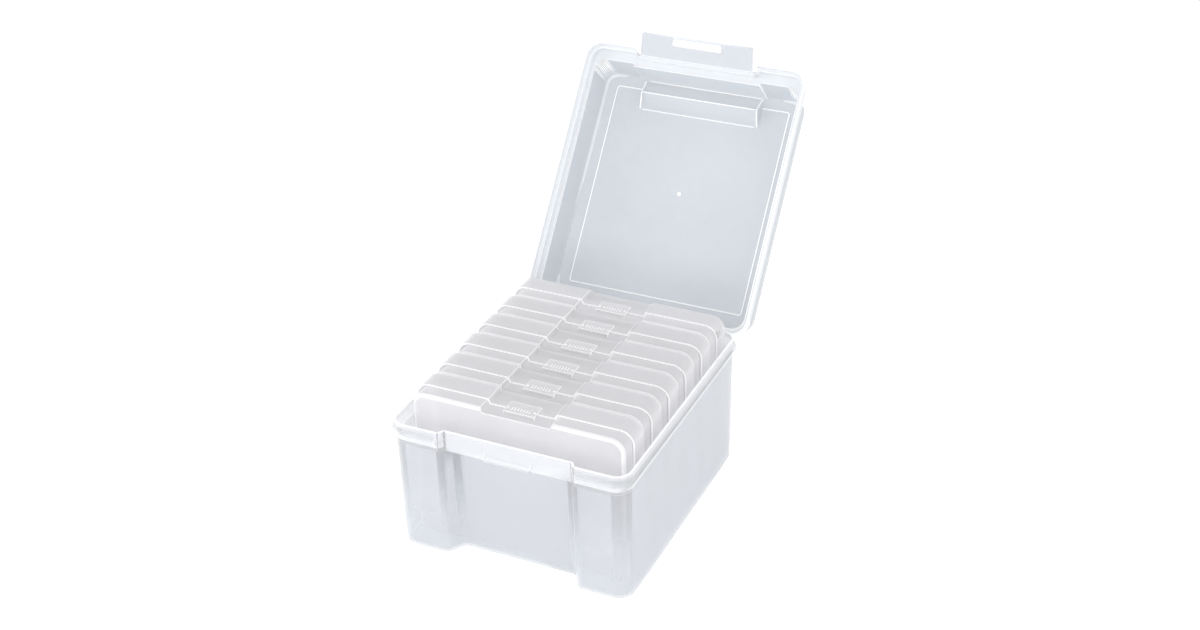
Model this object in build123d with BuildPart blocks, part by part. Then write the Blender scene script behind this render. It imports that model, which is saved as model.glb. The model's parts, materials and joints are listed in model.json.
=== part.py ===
"""Photo keeper case: a clear moulded tub with a hinged lid, a latch flap and six inner photo cases.

Frame: +X to the right as seen from the front, +Y to the back, +Z up, origin at the centre of the
tub's base, millimetres. The case stands open: the lid leans back on its stop, the latch flap
stands off the lid's front edge and the six inner cases stand in a row in the tub.
"""
import os

from build123d import *

# --- Tub: outside sizes at the foot and under the rim band, both walls drafted -------------------
BASE_WIDTH = 202.4
BASE_DEPTH = 227.4
TOP_WIDTH = 203.2
TOP_DEPTH = 231.6
BODY_HEIGHT = 105.8        # foot to the underside of the rim band
CORNER_RADIUS = 13.0
FOOT_BEVEL = 3.0
WALL = 1.8
FLOOR = 2.2

# Hand recess in the middle of the tub's front
RECESS_MOUTH = 117.0
RECESS_FLOOR = 99.0
RECESS_FOOT_DEPTH = 14.5
RECESS_TOP_DEPTH = 12.5
RECESS_BEND = 6.0

# Rim band, its bead, and the shallow part of the recess that runs through the band
BAND_HEIGHT = 14.0
BAND_PROUD = 0.8
BAND_RECESS_MOUTH = 117.0
BAND_RECESS_FLOOR = 110.0
BAND_RECESS_DEPTH = 5.0
BAND_RECESS_BEND = 2.0
BAND_RECESS_DROP = 4.0     # the band hangs this much lower inside the recess
BEAD_PROUD = 2.1
BEAD_SLOPE = 4.7           # height of the slanted underside
BEAD_FLAT = 2.0            # height of the upright nose
BEAD_SHOULDER = 1.5        # height of the rounded-over top
BEAD_SHOULDER_SETBACK = 1.2

# --- Lid: a terraced shell over the rim ------------------------------------------------------------
CLOSED_HEIGHT = 159.6      # of the whole case with its lid shut
OPEN_ANGLE = 128.0
LID_WALL = 1.8
SKIRT_GAP = 0.3            # skirt to band, each side
SEAT_GAP = 0.1             # lid to lip, with the lid shut
SKIRT_LIFT = 0.6           # skirt's lower edge above the bead
TERRACE_INSET = 2.5        # inner face of the terrace, in from the band's outside
TERRACE_RISE = 6.6         # height of the terrace's inside above the lip
HOOD_FOOT_WIDTH = 194.6    # inside of the main wall at the terrace
HOOD_FOOT_FRONT = 106.3
HOOD_FOOT_REAR = 112.5
HOOD_TOP_WIDTH = 189.8     # inside of the main wall at the panel
HOOD_TOP_FRONT = 100.6
HOOD_TOP_REAR = 108.4
HOOD_RADIUS = 11.0
PANEL_BEVEL = 3.0          # outer edge of the top panel
NICHE_WIDTH = 117.0        # the main wall's front steps back this wide behind the flap
NICHE_FOOT_DEPTH = 3.0
NICHE_TOP_DEPTH = 1.6
NOTCH_WIDTH = 115.0        # gap in the skirt where the flap hangs

# Finger scoop across the front of the panel
SCOOP_WIDTH = 115.0
SCOOP_FRONT = 99.0         # its front edge, from the middle of the case
SCOOP_LENGTH = 27.0
SCOOP_DEPTH = 9.8
SCOOP_CREST = 13.0         # crest behind the scoop's front edge
SCOOP_END = 2.4            # bevel of each end

# Line moulded round the inside of the panel
FRAME_HALF_WIDTH = 83.9
FRAME_FRONT = 90.8
FRAME_REAR = 96.2
FRAME_CORNER = 3.0
FRAME_LINE = 1.2
FRAME_RISE = 0.5

# --- Hinge: snap-on knuckles of the lid round pins of the tub, two stations -----------------------
HINGE_Y = 121.0
HINGE_Z = 111.0
HINGE_SPACING = 120.0
PIN_RADIUS = 1.6
PIN_CLEARANCE = 0.08
KNUCKLE_RADIUS = 3.2
KNUCKLE_WIDTH = 14.0
KNUCKLE_MOUTH = 2.6        # slot that snaps over the pin
EAR_WIDTH = 2.4
EAR_GAP = 0.4
ARM_HEIGHT = 9.0
STOP_GAP = 0.1
STOP_REACH = 5.5

# --- Latch flap and its catch ------------------------------------------------------------------------
FLAP_WIDTH = 107.0
FLAP_TIP_WIDTH = 105.0
FLAP_LENGTH = 21.5
FLAP_THICKNESS = 1.4
FLAP_CORNER = 3.0
FLAP_OUT = 1.1             # axis in front of the band's recess face
FLAP_DROP = 0.7            # half the plate's thickness over the lip's top, to the axis
FLAP_ANGLE = 58.5          # swung up from latched, as it stands in the open case
FLAP_GROOVE_GAP = 0.2
SLOT_WIDTH = 45.7
SLOT_HEIGHT = 6.8
SLOT_EDGE = 2.5            # slot to the flap's tip
CATCH_WIDTH = 40.0
CATCH_PROUD = 2.6
CATCH_GAP = 0.5            # catch to the slot's lower and upper edge
CATCH_NOSE = 2.4           # height of the catch's upright nose
CATCH_ROOT = 1.3           # thickness of the catch below the band

# --- Inner photo cases: a deep tray behind, a shallow lid in front ---------------------------------
CASE_COUNT = 6
CASE_FRONT = 95.5          # front face of the first case, from the middle of the tub
CASE_PITCH = 34.1
CASE_WIDTH = 189.8
CASE_DEPTH = 33.2
CASE_HEIGHT = 137.0
CASE_LID_DEPTH = 12.5
CASE_WALL = 1.4
CASE_STAND = 0.3           # case to the tub's floor
CASE_CORNER = 12.0
CASE_FOOT_BEVEL = 3.6
CASE_TRAY_BEVEL = 3.0
CASE_LID_BEVEL = 2.8
CASE_FIT = 0.3             # lid's rim inside the tray's
CASE_LID_INSET = 2.75      # side of the lid in from the side of the tray
CASE_PLUG = 2.5            # lid's rim runs this far into the tray
CHEEK_SPREAD = 2.75        # lower sides stand this much further out
CHEEK_TOP = 35.0
CHEEK_BLEND = 20.0
TAB_NOTCH_WIDTH = 55.0     # lowered middle of the top
TAB_NOTCH_DEPTH = 3.8
TAB_NOTCH_FLARE = 2.0
TAB_WIDTH = 27.0
TAB_LENGTH = 15.0
TAB_THICKNESS = 1.2
TAB_ROOT = 4.0
TAB_GAP = 0.2
HOOK_SPACING = 120.0       # two hooks on the lid's foot, through slots in the tray's floor
HOOK_WIDTH = 12.0
HOOK_ARM = 2.0             # from the lid's rim back to the hook
HOOK_LENGTH = 2.0
HOOK_GAP = 0.3

# --- Heights and sizes that follow ---------------------------------------------------------------------
LIP_TOP = BODY_HEIGHT + BAND_HEIGHT
BAND_WIDTH = TOP_WIDTH + 2 * BAND_PROUD
BAND_DEPTH = TOP_DEPTH + 2 * BAND_PROUD
BAND_RECESS_FACE = -BAND_DEPTH / 2 + BAND_RECESS_DEPTH
BAND_FOOT = BODY_HEIGHT - BAND_RECESS_DROP
BEAD_TOP = BODY_HEIGHT + BEAD_SLOPE + BEAD_FLAT + BEAD_SHOULDER
SKIRT = SKIRT_GAP + LID_WALL           # outside of the lid's skirt, out from the band

BEVEL_SHIFT = 2 - 2 ** 0.5             # a bevel grows by this share of the offset that grows its faces

# Heights in the lid, measured up from the hinge axis with the lid shut
SKIRT_FOOT = BEAD_TOP + SKIRT_LIFT - HINGE_Z
SEAT = LIP_TOP + SEAT_GAP - HINGE_Z
TERRACE = SEAT + TERRACE_RISE
PANEL_TOP = CLOSED_HEIGHT - HINGE_Z
PANEL = PANEL_TOP - LID_WALL

# The lid is drawn as if shut, on a plane at hinge height that is carried back round the hinge.
LID = Plane(Location((0, HINGE_Y, HINGE_Z), (-OPEN_ANGLE, 0, 0)) * Location((0, -HINGE_Y, 0)))
LID_SECTION = Plane(LID.origin, x_dir=LID.y_dir, z_dir=LID.x_dir)

# The flap's axis in that section, and the flap's own section turned up from latched
FLAP_Y = BAND_RECESS_FACE - FLAP_OUT
FLAP_Z = SEAT + FLAP_DROP
FLAP_SECTION = Plane(
    Location(LID_SECTION.from_local_coords((FLAP_Y, FLAP_Z, 0)), LID_SECTION.location.orientation)
    * Location((0, 0, 0), (0, 0, -90 - FLAP_ANGLE)))
FLAP_PLATE = Plane(FLAP_SECTION.origin, x_dir=FLAP_SECTION.x_dir, z_dir=FLAP_SECTION.y_dir)


# --- Tub -------------------------------------------------------------------------------------------------
def recessed_plan(plane, width, depth, mouth, floor, setback, bend, grow=0.0):
    """Rounded rectangle with a flared recess in its front side, grown or shrunk all round."""
    front = -depth / 2
    with BuildSketch(plane) as plan:
        Rectangle(width, depth)
        fillet(plan.vertices(), CORNER_RADIUS)
        with BuildLine():
            Polyline((-mouth / 2, front), (-floor / 2, front + setback),
                     (floor / 2, front + setback), (mouth / 2, front), close=True)
        make_face(mode=Mode.SUBTRACT)
        bends = plan.vertices().filter_by_position(Axis.X, -mouth / 2 - 0.1, mouth / 2 + 0.1)
        fillet(bends, bend)
        if grow:
            offset(amount=grow)
    return plan.sketch


def body_form(bottom, top, grow=0.0):
    """The tub below its band as a solid: drafted sides, the deep hand recess and a bevelled foot."""
    with BuildPart() as form:
        foot_plan = recessed_plan(Plane.XY.offset(bottom), BASE_WIDTH, BASE_DEPTH,
                                  RECESS_MOUTH, RECESS_FLOOR, RECESS_FOOT_DEPTH, RECESS_BEND, grow)
        top_plan = recessed_plan(Plane.XY.offset(top), TOP_WIDTH, TOP_DEPTH,
                                 RECESS_MOUTH, RECESS_FLOOR, RECESS_TOP_DEPTH, RECESS_BEND, grow)
        loft([foot_plan, top_plan], ruled=True)
        foot_edges = form.faces().sort_by(Axis.Z)[0].edges()
        chamfer(foot_edges, FOOT_BEVEL + grow * BEVEL_SHIFT)
    return form.part


def collar_plan(plane, grow=0.0):
    """Plan of the wall just under the band, where the recess is already shallow."""
    return recessed_plan(plane, TOP_WIDTH, TOP_DEPTH, BAND_RECESS_MOUTH, BAND_RECESS_FLOOR,
                         BAND_RECESS_DEPTH - BAND_PROUD, BAND_RECESS_BEND, grow)


def rim_plan(plane, grow=0.0):
    """Plan of the band, which the lid's skirt and terrace follow at their own distances."""
    return recessed_plan(plane, BAND_WIDTH, BAND_DEPTH, BAND_RECESS_MOUTH, BAND_RECESS_FLOOR,
                         BAND_RECESS_DEPTH, BAND_RECESS_BEND, grow)


def ring_plan(height, grow):
    """Plain rounded rectangle round the band at one height of the bead."""
    with BuildSketch(Plane.XY.offset(height)) as plan:
        RectangleRounded(BAND_WIDTH + 2 * grow, BAND_DEPTH + 2 * grow, CORNER_RADIUS + grow)
    return plan.sketch


def bead_form():
    """Bead round the band: slanted underside, upright nose, rolled shoulder; open at the recess."""
    nose = BODY_HEIGHT + BEAD_SLOPE
    with BuildPart() as form:
        loft([ring_plan(BODY_HEIGHT, 0.05), ring_plan(nose, BEAD_PROUD)], ruled=True)
        extrude(ring_plan(nose, BEAD_PROUD), BEAD_FLAT)
        loft([ring_plan(nose + BEAD_FLAT, BEAD_PROUD),
              ring_plan(BEAD_TOP, BEAD_PROUD - BEAD_SHOULDER_SETBACK)], ruled=True)
        with BuildSketch(Plane.XY.offset(BODY_HEIGHT)):
            with Locations((0, -BAND_DEPTH / 2)):
                Rectangle(BAND_RECESS_MOUTH + 2 * BAND_RECESS_BEND, 2 * BAND_RECESS_DEPTH)
        extrude(amount=BEAD_TOP - BODY_HEIGHT, mode=Mode.SUBTRACT)
    return form.part


HINGE_STATIONS = [-HINGE_SPACING / 2, HINGE_SPACING / 2]
EAR_OFFSET = KNUCKLE_WIDTH / 2 + EAR_GAP
WALL_INSIDE_BAND = BAND_DEPTH / 2 - WALL / 2       # where what stands on the rear wall is rooted

with BuildPart() as tub:
    add(body_form(0, BODY_HEIGHT))
    extrude(collar_plan(Plane.XY.offset(BAND_FOOT)), BAND_RECESS_DROP)
    extrude(rim_plan(Plane.XY.offset(BODY_HEIGHT)), BAND_HEIGHT)
    add(bead_form())
    # Inside: one wall in from each of those outsides, with the shelf of the recess in between
    add(body_form(FLOOR, BAND_FOOT + WALL, -WALL), mode=Mode.SUBTRACT)
    extrude(collar_plan(Plane.XY.offset(BAND_FOOT + WALL), -WALL), BAND_RECESS_DROP,
            mode=Mode.SUBTRACT)
    extrude(rim_plan(Plane.XY.offset(BODY_HEIGHT + WALL), -WALL), BAND_HEIGHT, mode=Mode.SUBTRACT)
    # Gaps in the bead for the lid's knuckles
    with BuildSketch(Plane.XY.offset(BODY_HEIGHT)):
        with Locations(*[(x, BAND_DEPTH / 2 + BEAD_PROUD) for x in HINGE_STATIONS]):
            Rectangle(KNUCKLE_WIDTH + 2 * EAR_GAP, 2 * BEAD_PROUD)
    extrude(amount=BEAD_TOP - BODY_HEIGHT, mode=Mode.SUBTRACT)
    for station in HINGE_STATIONS:
        # A pair of ears with the pin between them
        for side in (-1, 1):
            with BuildSketch(Plane.YZ.offset(station + side * (EAR_OFFSET + EAR_WIDTH / 2))):
                with Locations((HINGE_Y, HINGE_Z)):
                    Circle(KNUCKLE_RADIUS)
                with Locations(((HINGE_Y + WALL_INSIDE_BAND) / 2, HINGE_Z)):
                    Rectangle(HINGE_Y - WALL_INSIDE_BAND, 2 * KNUCKLE_RADIUS)
            extrude(amount=EAR_WIDTH / 2, both=True)
        with BuildSketch(Plane.YZ.offset(station)):
            with Locations((HINGE_Y, HINGE_Z)):
                Circle(PIN_RADIUS)
        extrude(amount=EAR_OFFSET + EAR_WIDTH / 2, both=True)
        # Stop that the knuckle's arm comes to rest on with the lid open
        arm_face = HINGE_Y + KNUCKLE_RADIUS + STOP_GAP
        near = LID_SECTION.from_local_coords((arm_face, 0.5, 0))
        far = LID_SECTION.from_local_coords((arm_face, STOP_REACH, 0))
        with BuildSketch(Plane.YZ.offset(station)):
            with BuildLine():
                Polyline((WALL_INSIDE_BAND, near.Z), (near.Y, near.Z), (far.Y, far.Z),
                         (TOP_DEPTH / 2 - WALL / 2, far.Z - STOP_REACH), close=True)
            make_face()
        extrude(amount=KNUCKLE_WIDTH / 2, both=True)
    # Catch for the flap's slot: slanted top, upright nose, flat underside
    slot_top = HINGE_Z + FLAP_Z - (FLAP_LENGTH - SLOT_EDGE - SLOT_HEIGHT)
    catch_top = slot_top - CATCH_GAP
    catch_foot = slot_top - SLOT_HEIGHT + CATCH_GAP
    catch_root = BAND_RECESS_FACE + WALL / 2
    with BuildSketch(Plane.YZ) as catch:
        with BuildLine():
            Polyline((catch_root, catch_top), (BAND_RECESS_FACE, catch_top),
                     (BAND_RECESS_FACE - CATCH_PROUD, catch_foot + CATCH_NOSE),
                     (BAND_RECESS_FACE - CATCH_PROUD, catch_foot), (catch_root, catch_foot),
                     close=True)
        make_face()
    extrude(amount=CATCH_WIDTH / 2, both=True)
tub.part.label = "tub"


# --- Lid -------------------------------------------------------------------------------------------------
def hood_plan(height, width, front, rear, radius, grow=0.0):
    """Rounded rectangle of the lid's main wall, set by its own front and rear."""
    with BuildSketch(LID.offset(height)) as plan:
        with Locations((0, (rear - front) / 2)):
            RectangleRounded(width + 2 * grow, front + rear + 2 * grow, radius + grow)
    return plan.sketch


def hood_form(top, grow=0.0):
    """The lid's main wall and panel as a solid: tapered, bevelled round the panel, stepped back
    behind the flap."""
    with BuildPart() as form:
        loft([hood_plan(SEAT, HOOD_FOOT_WIDTH, HOOD_FOOT_FRONT, HOOD_FOOT_REAR, HOOD_RADIUS, grow),
              hood_plan(top, HOOD_TOP_WIDTH, HOOD_TOP_FRONT, HOOD_TOP_REAR, HOOD_RADIUS, grow)],
             ruled=True)
        panel = form.faces().sort_by(Axis(LID.origin, LID.z_dir))[-1]
        chamfer(panel.edges(), PANEL_BEVEL + (grow - LID_WALL) * BEVEL_SHIFT)
        with BuildSketch(LID_SECTION):
            with BuildLine():
                Polyline((-HOOD_FOOT_FRONT - grow, SEAT),
                         (-HOOD_FOOT_FRONT - grow + NICHE_FOOT_DEPTH, SEAT),
                         (-HOOD_TOP_FRONT - grow + NICHE_TOP_DEPTH, top),
                         (-HOOD_FOOT_FRONT - grow, top), close=True)
            make_face()
        extrude(amount=NICHE_WIDTH / 2 + LID_WALL - grow, both=True, mode=Mode.SUBTRACT)
    return form.part


def scoop_form(grow=0.0):
    """Trough pressed into the panel from outside: two slopes that meet in a crest, bevelled ends."""
    rear = SCOOP_FRONT - SCOOP_LENGTH
    mouth = PANEL_TOP - grow
    with BuildPart() as form:
        with BuildSketch(LID_SECTION):
            with BuildLine():
                Polyline((-SCOOP_FRONT, mouth), (-SCOOP_FRONT, PANEL),
                         (-SCOOP_FRONT + SCOOP_CREST, PANEL - SCOOP_DEPTH),
                         (-rear, PANEL), (-rear, mouth), close=True)
            make_face()
            if grow:
                offset(amount=grow)
        extrude(amount=SCOOP_WIDTH / 2 + grow, both=True)
        for end in (form.faces().sort_by(Axis.X)[0], form.faces().sort_by(Axis.X)[-1]):
            slopes = end.edges().sort_by(Axis(LID.origin, LID.z_dir))[:2]
            chamfer(slopes, SCOOP_END + grow * BEVEL_SHIFT)
    return form.part


with BuildPart() as lid:
    extrude(rim_plan(LID.offset(SKIRT_FOOT), SKIRT), SEAT + LID_WALL - SKIRT_FOOT)
    extrude(rim_plan(LID.offset(SEAT), LID_WALL - TERRACE_INSET), TERRACE_RISE + LID_WALL)
    add(hood_form(PANEL_TOP, LID_WALL))
    # Inside
    extrude(rim_plan(LID.offset(SKIRT_FOOT), SKIRT_GAP), SEAT - SKIRT_FOOT, mode=Mode.SUBTRACT)
    extrude(rim_plan(LID.offset(SEAT), -TERRACE_INSET), TERRACE_RISE, mode=Mode.SUBTRACT)
    add(hood_form(PANEL), mode=Mode.SUBTRACT)
    # Line round the panel's inside
    with BuildSketch(LID.offset(PANEL)):
        with Locations((0, (FRAME_REAR - FRAME_FRONT) / 2)):
            RectangleRounded(2 * FRAME_HALF_WIDTH, FRAME_FRONT + FRAME_REAR, FRAME_CORNER)
            RectangleRounded(2 * (FRAME_HALF_WIDTH - FRAME_LINE),
                             FRAME_FRONT + FRAME_REAR - 2 * FRAME_LINE,
                             FRAME_CORNER - FRAME_LINE, mode=Mode.SUBTRACT)
    extrude(amount=-FRAME_RISE)
    # Scoop: its own wall inside, its trough outside
    add(scoop_form())
    add(scoop_form(-LID_WALL), mode=Mode.SUBTRACT)
    # The skirt stops either side of the flap, and a round groove takes the flap's root
    clear = BAND_RECESS_DEPTH + SKIRT
    for bottom, top, edge in ((SKIRT_FOOT, SEAT + FLAP_GROOVE_GAP, BAND_RECESS_FACE),
                              (SEAT, SEAT + LID_WALL, FLAP_Y)):
        with BuildSketch(LID.offset(bottom)):
            with Locations((0, edge - clear)):
                Rectangle(NOTCH_WIDTH, 2 * clear)
        extrude(amount=top - bottom, mode=Mode.SUBTRACT)
    with BuildSketch(LID_SECTION):
        with Locations((FLAP_Y, FLAP_Z)):
            Circle(FLAP_THICKNESS / 2 + FLAP_GROOVE_GAP)
    extrude(amount=NOTCH_WIDTH / 2, both=True, mode=Mode.SUBTRACT)
    # Knuckles on arms that come down behind the rim
    skirt_rear = BAND_DEPTH / 2 + SKIRT - LID_WALL / 2
    for station in HINGE_STATIONS:
        with BuildSketch(LID_SECTION.offset(station)):
            with Locations((HINGE_Y, 0)):
                Circle(KNUCKLE_RADIUS)
            with Locations(((HINGE_Y + KNUCKLE_RADIUS + skirt_rear) / 2, (ARM_HEIGHT + SKIRT_FOOT) / 2)):
                Rectangle(HINGE_Y + KNUCKLE_RADIUS - skirt_rear, ARM_HEIGHT - SKIRT_FOOT)
            with Locations((HINGE_Y + KNUCKLE_RADIUS / 2, ARM_HEIGHT / 2)):
                Rectangle(KNUCKLE_RADIUS, ARM_HEIGHT)
            with Locations((HINGE_Y, 0)):
                Circle(PIN_RADIUS + PIN_CLEARANCE, mode=Mode.SUBTRACT)
            with Locations((HINGE_Y, -KNUCKLE_RADIUS)):
                Rectangle(KNUCKLE_MOUTH, 2 * KNUCKLE_RADIUS, mode=Mode.SUBTRACT)
        extrude(amount=KNUCKLE_WIDTH / 2, both=True)
lid.part.label = "lid"

# --- Latch flap --------------------------------------------------------------------------------------
with BuildPart() as latch_flap:
    with BuildSketch(FLAP_PLATE.offset(-FLAP_THICKNESS / 2)) as plate:
        with BuildLine():
            Polyline((0, -FLAP_WIDTH / 2), (FLAP_LENGTH, -FLAP_TIP_WIDTH / 2),
                     (FLAP_LENGTH, FLAP_TIP_WIDTH / 2), (0, FLAP_WIDTH / 2), close=True)
        make_face()
        fillet(plate.vertices().sort_by(Axis.X)[-2:], FLAP_CORNER)
        with Locations((FLAP_LENGTH - SLOT_EDGE - SLOT_HEIGHT / 2, 0)):
            RectangleRounded(SLOT_HEIGHT, SLOT_WIDTH, 0.8, mode=Mode.SUBTRACT)
    extrude(amount=FLAP_THICKNESS)
    with BuildSketch(FLAP_SECTION):
        Circle(FLAP_THICKNESS / 2)
    extrude(amount=FLAP_WIDTH / 2, both=True)
latch_flap.part.label = "latch_flap"


# --- Inner photo cases -----------------------------------------------------------------------------------
def case_outline(y, width, spread, foot, top, grow):
    """Front outline of an inner case: round top corners and lower sides that stand further out."""
    side = width / 2 + grow
    cheek = side + spread
    with BuildSketch(Plane.XZ.offset(-y)) as outline:
        with BuildLine():
            Polyline((-cheek, foot - grow), (cheek, foot - grow), (cheek, CHEEK_TOP),
                     (side, CHEEK_TOP + CHEEK_BLEND), (side, top + grow), (-side, top + grow),
                     (-side, CHEEK_TOP + CHEEK_BLEND), (-cheek, CHEEK_TOP), close=True)
        make_face()
        fillet(outline.vertices().group_by(Axis.Y)[-1], CASE_CORNER + grow)
        chamfer(outline.vertices().group_by(Axis.Y)[0], CASE_FOOT_BEVEL + grow * BEVEL_SHIFT)
    return outline.sketch


def case_form(rim_y, reach, width, foot, top, notch, notch_depth, bevel, grow=0.0):
    """Half a case as a solid from its rim plane: bevelled far edge, lowered middle of the top.

    A positive reach runs to the back, a negative one to the front."""
    with BuildPart() as form:
        extrude(case_outline(rim_y, width, CHEEK_SPREAD, foot, top, grow), -reach)
        far = form.faces().sort_by(Axis.Y)[-1 if reach > 0 else 0]
        chamfer(far.edges(), bevel + grow * BEVEL_SHIFT)
        floor = top - notch_depth + grow
        with BuildSketch(Plane.XZ.offset(-rim_y)):
            with BuildLine():
                half = notch / 2 - grow
                Polyline((-half, floor), (half, floor), (half + TAB_NOTCH_FLARE, top + grow),
                         (-half - TAB_NOTCH_FLARE, top + grow), close=True)
            make_face()
        extrude(amount=-reach, mode=Mode.SUBTRACT)
    return form.part


CASE_FOOT = FLOOR + CASE_STAND
CASE_TOP = CASE_FOOT + CASE_HEIGHT
CASE_INSET = CASE_WALL + CASE_FIT          # lid's outside from the tray's outside, top, notch and foot
LID_WIDTH = CASE_WIDTH - 2 * CASE_LID_INSET
HOOK_STATIONS = [-HOOK_SPACING / 2, HOOK_SPACING / 2]

os.makedirs("parts", exist_ok=True)
for number in range(1, CASE_COUNT + 1):
    face = -CASE_FRONT + (number - 1) * CASE_PITCH
    rim = face + CASE_LID_DEPTH
    back = face + CASE_DEPTH
    lid_rim = rim + CASE_PLUG
    hook = lid_rim + HOOK_ARM
    tab_floor = CASE_TOP - TAB_NOTCH_DEPTH

    with BuildPart() as case_tray:
        tray_sizes = (CASE_WIDTH, CASE_FOOT, CASE_TOP, TAB_NOTCH_WIDTH, TAB_NOTCH_DEPTH,
                      CASE_TRAY_BEVEL)
        add(case_form(rim, back - rim, *tray_sizes))
        add(case_form(rim, back - rim - CASE_WALL, *tray_sizes, -CASE_WALL), mode=Mode.SUBTRACT)
        with BuildSketch(Plane.XY.offset(CASE_FOOT)):
            with Locations(*[(x, hook + HOOK_LENGTH / 2) for x in HOOK_STATIONS]):
                Rectangle(HOOK_WIDTH + 2 * HOOK_GAP, HOOK_LENGTH + 2 * HOOK_GAP)
        extrude(amount=CASE_WALL, mode=Mode.SUBTRACT)
    case_tray.part.label = f"case_{number}_tray"
    export_step(case_tray.part, f"parts/case_{number}_tray.step")

    with BuildPart() as case_lid:
        lid_sizes = (LID_WIDTH, CASE_FOOT + CASE_INSET, CASE_TOP - CASE_INSET,
                     TAB_NOTCH_WIDTH + 2 * CASE_INSET, TAB_NOTCH_DEPTH, CASE_LID_BEVEL)
        add(case_form(lid_rim, face - lid_rim, *lid_sizes))
        add(case_form(lid_rim, face - lid_rim + CASE_WALL, *lid_sizes, -CASE_WALL),
            mode=Mode.SUBTRACT)
        # Hooks from the lid's foot through the tray's floor, on which the lid turns
        for station in HOOK_STATIONS:
            with BuildSketch(Plane.YZ.offset(station)):
                with BuildLine():
                    arm_z = CASE_FOOT + CASE_INSET
                    Polyline((lid_rim - CASE_WALL, arm_z), (hook, arm_z), (hook, CASE_FOOT + HOOK_GAP),
                             (hook + HOOK_LENGTH, CASE_FOOT + HOOK_GAP),
                             (hook + HOOK_LENGTH, arm_z + CASE_WALL),
                             (lid_rim - CASE_WALL, arm_z + CASE_WALL), close=True)
                make_face()
            extrude(amount=HOOK_WIDTH / 2, both=True)
        # Snap tab from the lid's top back over the tray's
        with BuildSketch(Plane.YZ):
            with BuildLine():
                foot_z = CASE_TOP - CASE_INSET - TAB_NOTCH_DEPTH - CASE_WALL / 2
                tab_z = tab_floor + TAB_GAP
                tab_y = face + CASE_LID_BEVEL + 2 * CASE_WALL
                Polyline((tab_y, foot_z), (tab_y + TAB_ROOT, foot_z), (tab_y + TAB_ROOT, tab_z),
                         (tab_y + TAB_LENGTH, tab_z), (tab_y + TAB_LENGTH, tab_z + TAB_THICKNESS),
                         (tab_y, tab_z + TAB_THICKNESS), close=True)
            make_face()
        extrude(amount=TAB_WIDTH / 2, both=True)
    case_lid.part.label = f"case_{number}_lid"
    export_step(case_lid.part, f"parts/case_{number}_lid.step")

export_step(tub.part, "parts/tub.step")
export_step(lid.part, "parts/lid.step")
export_step(latch_flap.part, "parts/latch_flap.step")
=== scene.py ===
"""Photo keeper case: a frosted clear tub with a terraced lid, a latch flap and six inner photo cases.

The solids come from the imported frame. Each is dressed here as a moulding: its mesh is merged, its
sharp arrises get the small radius that a mould leaves, and it takes a translucent polypropylene
finish. Lengths are in metres, in the frame's own axes: +X right, +Y back, +Z up.
"""
import json
import math

import bmesh
import bpy
import numpy as np
from mathutils import Matrix, Vector


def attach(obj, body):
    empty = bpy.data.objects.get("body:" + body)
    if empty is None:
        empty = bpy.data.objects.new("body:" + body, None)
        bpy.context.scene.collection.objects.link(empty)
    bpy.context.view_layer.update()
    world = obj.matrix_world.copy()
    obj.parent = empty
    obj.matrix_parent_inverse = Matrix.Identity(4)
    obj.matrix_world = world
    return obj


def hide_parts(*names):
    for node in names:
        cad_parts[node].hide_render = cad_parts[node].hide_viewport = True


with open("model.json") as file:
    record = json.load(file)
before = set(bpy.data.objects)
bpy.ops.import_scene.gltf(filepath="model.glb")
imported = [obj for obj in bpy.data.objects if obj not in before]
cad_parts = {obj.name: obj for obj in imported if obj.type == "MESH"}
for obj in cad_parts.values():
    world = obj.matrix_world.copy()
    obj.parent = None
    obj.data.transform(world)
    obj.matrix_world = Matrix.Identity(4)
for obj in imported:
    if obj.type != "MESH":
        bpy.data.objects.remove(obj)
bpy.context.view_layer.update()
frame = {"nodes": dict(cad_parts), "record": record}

MM = 0.001

# --- How a face or an edge of a moulding is told by its shape ----------------------------------------
SMOOTH_TURN = 30.0                   # degrees below which an edge is shaded as a round
SHARP_TURN = 53.0                    # degrees above which an edge is a sharp arris
WALL_END_TURN = 60.0                 # degrees that the end of a wall turns from the wall's sides
WALL_END_MM = 2.3                    # the end of a wall is narrower than this
TUB_LEVEL = 0.8                      # and on the tub it lies level: its normal's least upright share
WIDEST_BEVEL_MM = 5.5                # a bevelled edge is narrower than this
BEVEL_SLACK = 0.1                    # and its normal is this close to 45 degrees
LIP_MM = 8.0                         # a terrace of the lid is narrower than this
TERRACE_TOP_MM = 16.5                # and lies lower than this over the hinge axis, with the lid shut
TUB_RIM_FOOT_MM = 100.0              # the tub's rim and its band lie above this height
TUB_ARRIS_FOOT_MM = 104.0            # and its arrises are rounded above this one
ROOM_PER_RADIUS = 2.2                # an arris is rounded where its faces are this many radii wide

# --- Clouding of the plastic, from how the melt flowed -----------------------------------------------
FLOW_MM = 45.0
FLOW_CLOUD = 0.03                    # how much it adds to the opacity or takes from it

# --- Where things are -------------------------------------------------------------------------------
LID_OPEN = math.radians(128.0)
HINGE = np.array([0.0, 121.0, 111.0]) * MM
CASE_FRONT = -95.5                   # mm, the first inner case's front face
CASE_PITCH = 34.1
TAB_TOP = 137.05                     # top of a snap tab
TAB_RIB_Y = 11.0                     # and the middle of its grip, behind the case's front face

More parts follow.
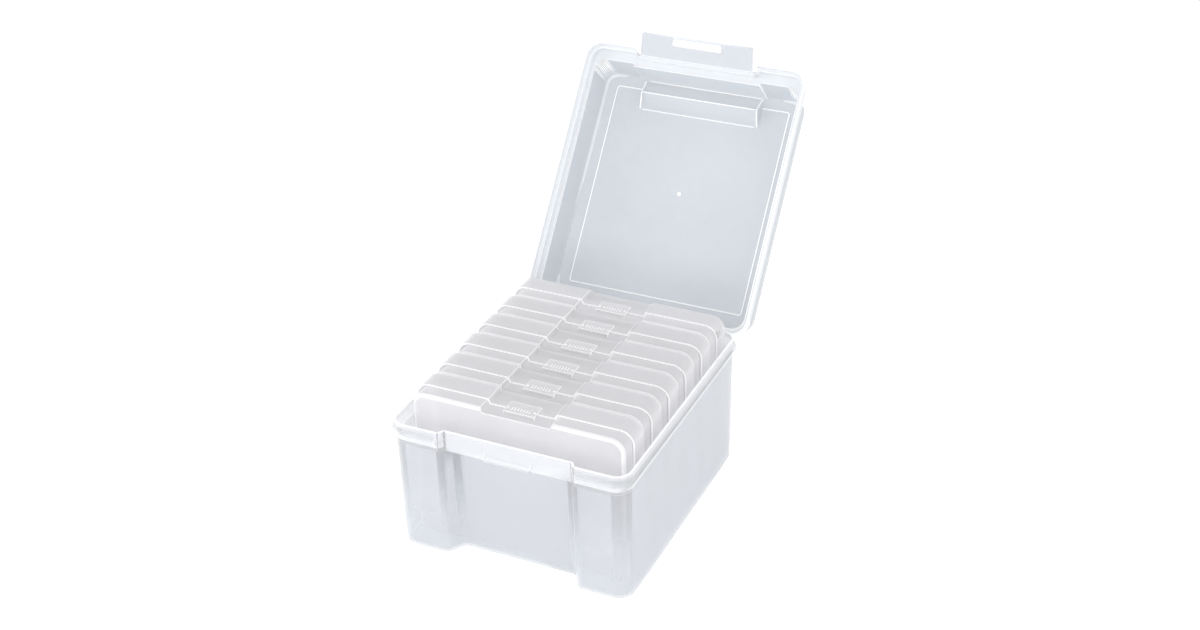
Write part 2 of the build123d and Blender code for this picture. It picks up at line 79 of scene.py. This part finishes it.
# On the lid, mm: up it from the hinge, and in height over the hinge axis with the lid shut
PANEL_HEIGHT = 46.8                  # the panel's inner face
SCOOP_HALF_WIDTH = 55.1
SCOOP_REAR = (193.2, 46.4)           # where the middles of the lines along the scoop lie
SCOOP_CREST = (207.0, 37.2)
SCOOP_FRONT = (219.8, 46.2)
SCOOP_LINE_RADIUS = 0.55
SCOOP_END_RADIUS = 0.7
SCOOP_END_OUT = 1.6                  # an end's line past the half width, at the panel
SCOOP_END_IN = 1.2                   # and how far it comes in again at the crest
SCOOP_END_DROP = 8.6                 # its fall from the panel to the crest
SCOOP_CREST_SHARE = 0.52             # where along the line the crest is
SCOOP_END_BEND = 0.9                 # power of the fall's curve
BEAD_SIDES = 10
BEAD_TIP = 0.35                      # radius at a bead's ends, as a share of its own
GATE_PLACE = (0.0, 122.0)            # across the lid, and up it from the hinge
GATE_RADIUS = 1.9
GATE_RISE = 0.9
GATE_RINGS = 8
GATE_SIDES = 24

# Grip on a snap tab, mm: seven ribs across the tab and a stud at each end
RIB_STATIONS = np.linspace(-7.5, 7.5, 7)
RIB_HALF_WIDTH = 0.5
RIB_HALF_LENGTH = 2.4
RIB_RISE = 0.5
STUD_STATIONS = (-11.5, 11.5)
STUD_RADIUS = 1.1
STUD_RISE = 0.6

# --- Camera: fitted to the photograph, which is 1200 x 630 pixels ------------------------------------
PHOTO_WIDTH = 1200
CAMERA_AZIMUTH = 25.448
CAMERA_ELEVATION = 30.070
CAMERA_ROLL = -1.410
CAMERA_FOCAL_PIXELS = 1809.5
CAMERA_DISTANCE = 1.43258
CAMERA_TARGET = (0.02907, 0.0, 0.1836)
SENSOR = 36.0


def place_camera():
    """Sets the camera at the photograph's angle, from its azimuth, elevation, roll and distance."""
    az, el, roll = (math.radians(a) for a in (CAMERA_AZIMUTH, CAMERA_ELEVATION, CAMERA_ROLL))
    ahead = Vector((-math.sin(az) * math.cos(el), math.cos(az) * math.cos(el), -math.sin(el)))
    level = Vector((math.cos(az), math.sin(az), 0.0))
    above = level.cross(ahead)
    right = level * math.cos(roll) + above * math.sin(roll)
    up = above * math.cos(roll) - level * math.sin(roll)
    data = bpy.data.cameras.new("photo_camera")
    data.sensor_width = SENSOR
    data.lens = CAMERA_FOCAL_PIXELS * SENSOR / PHOTO_WIDTH
    data.clip_end = 20.0
    camera = bpy.data.objects.new("photo_camera", data)
    bpy.context.scene.collection.objects.link(camera)
    turn = Matrix((right, up, -ahead)).transposed()
    camera.matrix_world = Matrix.Translation(Vector(CAMERA_TARGET) - ahead * CAMERA_DISTANCE) @ turn.to_4x4()
    bpy.context.scene.camera = camera


# --- Materials ----------------------------------------------------------------------------------------
def linear(hex_colour):
    """sRGB hex to linear RGBA."""
    channels = [int(hex_colour[i:i + 2], 16) / 255 for i in (1, 3, 5)]
    return [c / 12.92 if c <= 0.04045 else ((c + 0.055) / 1.055) ** 2.4 for c in channels] + [1.0]


def node(tree, kind, settings=None, links=None, **sockets):
    """Adds one shader node, with its settings, its constant sockets and its links."""
    made = tree.nodes.new(kind)
    for name, value in (settings or {}).items():
        setattr(made, name, value)
    for name, value in sockets.items():
        made.inputs[name.replace("_", " ")].default_value = value
    for name, source in (links or {}).items():
        tree.links.new(source, made.inputs[name])
    return made


def polypropylene(name, colour, roughness, clear, edge_on, grain_mm, grain_depth_mm, painted_glow):
    """Translucent injection-moulded polypropylene.

    The plastic is clear but milky, so a wall shows what is behind it dimly and pales where it is
    seen edge-on and the light crosses more of it. clear and edge_on are the wall's opacity seen
    square and seen along it, and the melt's slow flow clouds them a little. The last argument is a
    painted glow: a white emission, as a share of white, that stands in for light scattered inside
    the wall and lifts the shade in gaps and recesses. The mould's fine matt texture is a bump of
    grain_mm.
    """
    material = bpy.data.materials.new(name)
    material.use_nodes = True
    tree = material.node_tree
    tree.nodes.clear()
    place = node(tree, "ShaderNodeTexCoord")
    grain = node(tree, "ShaderNodeTexNoise", links={"Vector": place.outputs["Object"]},
                 Scale=1.0 / (grain_mm * MM), Detail=3.0, Roughness=0.55)
    bump = node(tree, "ShaderNodeBump", links={"Height": grain.outputs["Fac"]},
                Strength=0.25, Distance=grain_depth_mm * MM)
    flow = node(tree, "ShaderNodeTexNoise", links={"Vector": place.outputs["Object"]},
                Scale=1.0 / (FLOW_MM * MM), Detail=2.0)
    cloud = node(tree, "ShaderNodeMapRange", links={"Value": flow.outputs["Fac"]},
                 From_Min=0.3, From_Max=0.7, To_Min=clear - FLOW_CLOUD, To_Max=clear + FLOW_CLOUD)
    facing = node(tree, "ShaderNodeLayerWeight", Blend=0.35)
    milky = node(tree, "ShaderNodeMapRange",
                 links={"Value": facing.outputs["Facing"], "To Min": cloud.outputs["Result"]},
                 From_Min=0.0, From_Max=1.0, To_Max=edge_on)
    # The emission is a painted glow: the wall lights itself in white, standing in for light scattered inside
    # it
    plastic = node(tree, "ShaderNodeBsdfPrincipled",
                   links={"Normal": bump.outputs["Normal"], "Alpha": milky.outputs["Result"]},
                   Base_Color=linear(colour), Roughness=roughness, IOR=1.49,
                   Emission_Color=(1.0, 1.0, 1.0, 1.0), Emission_Strength=painted_glow)
    node(tree, "ShaderNodeOutputMaterial", links={"Surface": plastic.outputs["BSDF"]})
    return material


def make_materials():
    """The finishes of this case, by name; each glows a little through its emission, a painted glow."""
    return {
        # Frosted polypropylene of the tub: cool, milky, satin from a fine matt mould
        "tub": polypropylene("frosted_polypropylene", "#b3b8c0", 0.28, 0.19, 0.75, 0.6, 0.02, 0.18),
        # The lid and flap: the same plastic, milkier and bluer
        "lid": polypropylene("milky_polypropylene", "#c5cbd2", 0.28, 0.58, 0.85, 0.6, 0.02, 0.08),
        # An arris of either: white and dense, partly because light that runs inside the wall leaves it there
        # and partly as a painted highlight and glow along the edge
        "frosted arris painted highlight": polypropylene("frosted_polypropylene_arris_painted_highlight", "#fdfdfe", 0.25, 0.75, 0.95, 0.6, 0.01,
                                       0.16),
        # The lid's narrow terraces, where two walls meet: paler, partly because the plastic is thicker there
        # and partly as a painted highlight
        "lip": polypropylene("frosted_polypropylene_lip_painted_highlight", "#e2e6eb", 0.28, 0.66, 0.92, 0.6, 0.02, 0.10),
        # The tub's rim: band, bead and lip stand one behind the other; the finish there is paler and denser
        # than the walls
        "tub rim": polypropylene("frosted_polypropylene_rim", "#d3d6db", 0.28, 0.30, 0.80, 0.6, 0.02, 0.18),
        # Clear polypropylene: the inner cases; glossier, thinner walls, slightly warm
        "case": polypropylene("clear_polypropylene", "#d5d4d8", 0.18, 0.32, 0.75, 0.8, 0.01, 0.17),
        # A rounded edge of theirs, where the wall bends away: paler and denser, a painted highlight
        "clear round painted highlight": polypropylene("clear_polypropylene_round_painted_highlight", "#f7f7f9", 0.16, 0.48, 0.85, 0.8, 0.01,
                                     0.12),
        # An arris of theirs, and the grips of the snap tabs: white and glossy, a painted highlight
        "clear arris painted highlight": polypropylene("clear_polypropylene_arris_painted_highlight", "#ffffff", 0.18, 0.55, 0.90, 0.8, 0.01,
                                     0.11),
    }


# --- Mouldings ----------------------------------------------------------------------------------------
def add_object(name, mesh):
    """An object that shows mesh, linked to the scene."""
    made = bpy.data.objects.new(name, mesh)
    bpy.context.scene.collection.objects.link(made)
    return made


def strip_width(face):
    """The width of a long face: area over its longest edge, or over half its way round."""
    if len(face.edges) <= 4:
        return face.calc_area() / max(edge.calc_length() for edge in face.edges)
    return 2.0 * face.calc_area() / face.calc_perimeter()


def lid_height(place):
    """The height over the hinge axis, with the lid shut, of a place in the frame."""
    lean = LID_OPEN - math.pi / 2
    return (place[1] - HINGE[1]) * math.cos(lean) - (place[2] - HINGE[2]) * math.sin(lean)


def finish_of(face, name, bevel_axis):
    """Which finish a face takes: 0 the plastic, 1 the arris finish, 2 the lip finish.

    The end of a wall is narrow and turns sharply from at least two neighbours, or from one where
    it is a triangle. It takes the arris finish, white as a painted highlight. The lip finish, paler,
    goes on bevelled edges, narrow faces at 45 degrees to bevel_axis, on the lid's terraces and on
    the tub's rim; on bevels and terraces its paleness is partly a painted highlight.
    """
    turns = [math.degrees(edge.calc_face_angle_signed(0.0)) for edge in face.edges]
    width = strip_width(face) / MM
    centre = face.calc_center_median()
    wall_end = (sum(turn > WALL_END_TURN for turn in turns) >= (1 if len(turns) == 3 else 2)
                and width < WALL_END_MM
                and (name != "tub" or abs(face.normal.z) >= TUB_LEVEL))
    lean = abs(face.normal.dot(bevel_axis))
    bevelled = abs(lean - math.sqrt(0.5)) < BEVEL_SLACK and width < WIDEST_BEVEL_MM
    terrace = name == "lid" and width < LIP_MM and lid_height(centre) < TERRACE_TOP_MM * MM
    rim = name == "tub" and centre.z > TUB_RIM_FOOT_MM * MM
    if wall_end:
        return 1
    return 2 if bevelled or terrace or rim else 0


def dress(name, plastic, arris, lip, radius_mm, bevel_axis, sharp=SMOOTH_TURN, arris_foot_mm=None):
    """Shows a CAD node as a moulding: a merged copy of its mesh whose sharp arrises are rounded.

    Its faces take the three finishes as finish_of says, and the rounded arrises take the arris
    finish, white as a painted highlight. Edges that turn less than sharp are shaded as rounds. An
    arris is rounded to radius_mm where there is room, and only above arris_foot_mm if that is given.
    """
    mesh = frame["nodes"][name].data.copy()
    mesh.name = name + "_moulding"
    mesh.materials.clear()
    for finish in (plastic, arris, lip):
        mesh.materials.append(finish)
    work = bmesh.new()
    work.from_mesh(mesh)
    bmesh.ops.remove_doubles(work, verts=work.verts, dist=0.01 * MM)
    bmesh.ops.dissolve_limit(work, angle_limit=math.radians(0.5), verts=work.verts, edges=work.edges)
    for face in work.faces:
        face.smooth = True
        face.material_index = finish_of(face, name, bevel_axis)
    weight = work.edges.layers.float.new("bevel_weight_edge")
    for edge in work.edges:
        turn = math.degrees(edge.calc_face_angle_signed(0.0))
        edge.smooth = abs(turn) < sharp
        room = min((strip_width(face) for face in edge.link_faces), default=0.0) / MM
        high = arris_foot_mm is None or min(vert.co.z for vert in edge.verts) > arris_foot_mm * MM
        edge[weight] = float(turn > SHARP_TURN and room > ROOM_PER_RADIUS * radius_mm and high)
    work.to_mesh(mesh)
    work.free()
    piece = add_object(name + "_moulding", mesh)
    bevel = piece.modifiers.new("arris", "BEVEL")
    bevel.width = radius_mm * MM
    bevel.segments = 2
    bevel.limit_method = "WEIGHT"
    bevel.use_clamp_overlap = False
    # The rounded strips take the arris finish: white, a painted highlight along each arris
    bevel.material = 1
    bevel.harden_normals = False
    flats = piece.modifiers.new("flats", "WEIGHTED_NORMAL")
    flats.keep_sharp = False
    flats.mode = "FACE_AREA_WITH_ANGLE"
    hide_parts(name)
    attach(piece, next(b for b, ns in frame["record"]["behaviour"]["bodies"].items() if name in ns))


# --- Lines moulded on the lid --------------------------------------------------------------------------
def on_lid(points_mm):
    """Lid lengths to the frame: x, the way up the lid from its hinge, the height over the hinge
    axis with the lid shut. Two of the three turn with the lid, which stands LID_OPEN from shut."""
    x, up, height = (np.asarray(points_mm, float) * MM).T
    lean = LID_OPEN - math.pi / 2
    y = HINGE[1] + math.sin(lean) * up + math.cos(lean) * height
    z = HINGE[2] + math.cos(lean) * up - math.sin(lean) * height
    return np.stack([x, y, z], axis=1)


def bead(name, path, radius_mm, plastic, body):
    """A round bead along a path: circles of radius_mm square to the path's direction at each
    point, joined into a tube and closed by a point at each end."""
    ahead = np.gradient(path, axis=0)
    ahead /= np.linalg.norm(ahead, axis=1, keepdims=True)
    side = np.cross(ahead, on_lid([[0, 0, 1]])[0] - on_lid([[0, 0, 0]])[0])
    side /= np.linalg.norm(side, axis=1, keepdims=True)
    over = np.cross(side, ahead)
    turn = np.linspace(0.0, 2 * math.pi, BEAD_SIDES, endpoint=False)
    swell = np.full(len(path), radius_mm * MM)
    swell[[0, -1]] *= BEAD_TIP
    ring = (side[:, None] * np.cos(turn)[None, :, None] + over[:, None] * np.sin(turn)[None, :, None])
    points = (path[:, None] + ring * swell[:, None, None]).reshape(-1, 3)
    points = np.vstack([points, path[:1], path[-1:]])
    start, end = len(points) - 2, len(points) - 1
    i, j = np.meshgrid(np.arange(len(path) - 1), np.arange(BEAD_SIDES), indexing="ij")
    k = (j + 1) % BEAD_SIDES
    quads = np.stack([i * BEAD_SIDES + j, i * BEAD_SIDES + k,
                      (i + 1) * BEAD_SIDES + k, (i + 1) * BEAD_SIDES + j], axis=-1).reshape(-1, 4)
    here = np.arange(BEAD_SIDES)
    after = (here + 1) % BEAD_SIDES
    last = (len(path) - 1) * BEAD_SIDES
    caps = np.vstack([np.stack([after, here, np.full(BEAD_SIDES, start)], axis=1),
                      np.stack([last + here, last + after, np.full(BEAD_SIDES, end)], axis=1)])
    mesh = bpy.data.meshes.new(name)
    mesh.from_pydata(points.tolist(), [], quads.tolist() + caps.tolist())
    mesh.validate()
    mesh.shade_smooth()
    work = bmesh.new()
    work.from_mesh(mesh)
    bmesh.ops.recalc_face_normals(work, faces=work.faces)
    work.to_mesh(mesh)
    work.free()
    mesh.materials.append(plastic)
    piece = add_object(name, mesh)
    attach(piece, body)


def scoop_lines(plastic):
    """The scoop's outline: beads where it meets the panel, along its crest and round each end.

    An end's line runs from the rear edge to the front one. Over the crest it comes in by
    SCOOP_END_IN and falls by SCOOP_END_DROP, both by a tent function of its length.
    """
    across = np.linspace(-SCOOP_HALF_WIDTH, SCOOP_HALF_WIDTH, 60)
    for name, (up, height) in (("scoop_rear_line", SCOOP_REAR), ("scoop_crest_line", SCOOP_CREST),
                               ("scoop_front_line", SCOOP_FRONT)):
        line = np.stack([across, np.full(60, up), np.full(60, height)], axis=1)
        bead(name, on_lid(line), SCOOP_LINE_RADIUS, plastic, "lid")
    along = np.linspace(0.0, 1.0, 40)
    tent = np.clip(1.0 - np.abs(along - SCOOP_CREST_SHARE) / SCOOP_CREST_SHARE, 0.0, 1.0)
    rear, mouth = SCOOP_REAR
    up = rear + (SCOOP_FRONT[0] - rear) * along
    height = mouth - SCOOP_END_DROP * tent ** SCOOP_END_BEND
    for side, word in ((-1, "left"), (1, "right")):
        out = side * (SCOOP_HALF_WIDTH + SCOOP_END_OUT - SCOOP_END_IN * tent)
        bead(f"scoop_end_{word}", on_lid(np.stack([out, up, height], axis=1)), SCOOP_END_RADIUS,
             plastic, "lid")


def gate_mark(plastic):
    """The stub left where the plastic entered the mould: a low dome, radius falling as the cosine
    of the height angle, on the middle of the panel's inner face."""
    angle = np.linspace(0.0, math.pi / 2, GATE_RINGS)
    turn = np.linspace(0.0, 2 * math.pi, GATE_SIDES, endpoint=False)
    radius, rise = GATE_RADIUS * np.cos(angle), GATE_RISE * np.sin(angle)
    local = np.stack([GATE_PLACE[0] + radius[:, None] * np.cos(turn),
                      GATE_PLACE[1] + radius[:, None] * np.sin(turn),
                      PANEL_HEIGHT - np.broadcast_to(rise[:, None], (GATE_RINGS, GATE_SIDES))],
                     axis=-1).reshape(-1, 3)
    i, j = np.meshgrid(np.arange(GATE_RINGS - 1) * GATE_SIDES, np.arange(GATE_SIDES), indexing="ij")
    k = (j + 1) % GATE_SIDES
    quads = np.stack([i + j, i + k, i + GATE_SIDES + k, i + GATE_SIDES + j], axis=-1).reshape(-1, 4)
    mesh = bpy.data.meshes.new("gate_mark")
    mesh.from_pydata(on_lid(local).tolist(), [], quads.tolist() + [list(range(GATE_SIDES))])
    work = bmesh.new()
    work.from_mesh(mesh)
    bmesh.ops.remove_doubles(work, verts=work.verts, dist=0.001 * MM)
    bmesh.ops.recalc_face_normals(work, faces=work.faces)
    work.to_mesh(mesh)
    work.free()
    mesh.shade_smooth()
    mesh.materials.append(plastic)
    piece = add_object("gate_mark", mesh)
    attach(piece, "lid")


# --- Snap tabs of the inner cases ---------------------------------------------------------------------
def snap_tab_grip(case, plastic):
    """The grip moulded on a snap tab: seven small ribs that run front to back, and a round stud at
    each end. A rib is half a superellipse across and along, a stud a dome."""
    front = CASE_FRONT + CASE_PITCH * case
    u, v = np.meshgrid(np.linspace(-1, 1, 9), np.linspace(-1, 1, 13), indexing="ij")
    swell = np.sqrt(np.clip(1 - u ** 2, 0, 1)) * np.clip(1 - v ** 6, 0, 1)
    patches = [(x + RIB_HALF_WIDTH * u, front + TAB_RIB_Y + RIB_HALF_LENGTH * v, TAB_TOP + RIB_RISE * swell)
               for x in RIB_STATIONS]
    dome = np.sqrt(np.clip(1 - np.maximum(np.abs(u), np.abs(v)) ** 2, 0, 1))
    reach = np.maximum(np.abs(u), np.abs(v)) / np.maximum(np.hypot(u, v), 1e-6)
    patches += [(x + STUD_RADIUS * u * reach, front + TAB_RIB_Y + STUD_RADIUS * v * reach,
                 TAB_TOP + STUD_RISE * dome) for x in STUD_STATIONS]
    rows, columns = u.shape
    i, j = np.meshgrid(np.arange(rows - 1), np.arange(columns - 1), indexing="ij")
    quad = np.stack([i * columns + j, (i + 1) * columns + j, (i + 1) * columns + j + 1,
                     i * columns + j + 1], axis=-1).reshape(-1, 4)
    points = np.concatenate([np.stack(patch, axis=-1).reshape(-1, 3) for patch in patches]) * MM
    faces = np.concatenate([quad + n * rows * columns for n in range(len(patches))])
    mesh = bpy.data.meshes.new(f"case_{case + 1}_tab_grip")
    mesh.from_pydata(points.tolist(), [], faces.tolist())
    mesh.shade_smooth()
    mesh.materials.append(plastic)
    piece = add_object(mesh.name, mesh)
    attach(piece, f"photo_case_{case + 1}")


# --- Studio -------------------------------------------------------------------------------------------
FLOOR_GLOW = 0.32                    # the floor's own light, as of a lit white table: it takes little shadow
FLOOR_REACH = 6.0


def soft_light(name, place, target, size, watts):
    """A rectangular soft box at place, turned to target."""
    data = bpy.data.lights.new(name, "AREA")
    data.shape = "RECTANGLE"
    data.size, data.size_y = size
    data.energy = watts
    light = bpy.data.objects.new(name, data)
    light.location = place
    light.rotation_euler = (Vector(target) - Vector(place)).to_track_quat("-Z", "Y").to_euler()
    bpy.context.scene.collection.objects.link(light)


def build_studio():
    """Pale floor, white surround, and soft boxes above, in front, left and right."""
    floor_mesh = bpy.data.meshes.new("studio_floor")
    reach = FLOOR_REACH
    floor_mesh.from_pydata([(-reach, -reach, 0), (reach, -reach, 0), (reach, reach, 0), (-reach, reach, 0)],
                           [], [(0, 1, 2, 3)])
    floor = add_object("studio_floor", floor_mesh)
    paper = bpy.data.materials.new("white_paper_floor")
    paper.use_nodes = True
    tree = paper.node_tree
    tree.nodes.clear()
    sheet = node(tree, "ShaderNodeBsdfPrincipled", Base_Color=linear("#f7f7f7"), Roughness=0.9,
                 Emission_Color=(1.0, 1.0, 1.0, 1.0), Emission_Strength=FLOOR_GLOW)
    node(tree, "ShaderNodeOutputMaterial", links={"Surface": sheet.outputs["BSDF"]})
    floor_mesh.materials.append(paper)
    world = bpy.data.worlds.new("white_surround")
    world.use_nodes = True
    back = world.node_tree.nodes["Background"]
    back.inputs["Color"].default_value = (1.0, 1.0, 1.0, 1.0)
    back.inputs["Strength"].default_value = 0.68
    bpy.context.scene.world = world
    middle = (0.0, 0.03, 0.15)
    soft_light("overhead_box", (0.45, 0.30, 1.4), middle, (0.4, 0.4), 2.2)
    soft_light("left_box", (-1.4, -0.5, 0.45), middle, (0.7, 0.9), 6.5)
    soft_light("camera_box", (0.35, -1.35, 0.9), middle, (0.9, 0.7), 3.0)
    soft_light("front_box", (0.1, -1.6, 0.35), middle, (1.2, 0.5), 6.6)
    soft_light("right_box", (1.4, -0.6, 0.6), middle, (0.6, 0.9), 2.2)
    bpy.context.scene.view_settings.view_transform = "Standard"


place_camera()
finishes = make_materials()
shut_lid_up = Vector((0.0, math.sin(LID_OPEN), math.cos(LID_OPEN)))
for part in frame["nodes"]:
    if part.startswith("case"):
        dress(part, finishes["case"], finishes["clear arris painted highlight"], finishes["clear round painted highlight"],
              radius_mm=0.5, bevel_axis=Vector((0.0, 1.0, 0.0)), sharp=SHARP_TURN)
    elif part == "tub":
        dress(part, finishes["tub"], finishes["frosted arris painted highlight"], finishes["tub rim"],
              radius_mm=0.3, bevel_axis=Vector((0.0, 0.0, 1.0)), arris_foot_mm=TUB_ARRIS_FOOT_MM)
    else:
        dress(part, finishes["lid"], finishes["frosted arris painted highlight"], finishes["lip"],
              radius_mm=0.35, bevel_axis=shut_lid_up)
# The tab grips, the scoop's lines and the gate mark take the arris finishes: white, a painted highlight on
# each small rise
for case in range(sum(part.endswith("_tray") for part in frame["nodes"])):
    snap_tab_grip(case, finishes["clear arris painted highlight"])
scoop_lines(finishes["frosted arris painted highlight"])
gate_mark(finishes["frosted arris painted highlight"])
build_studio()
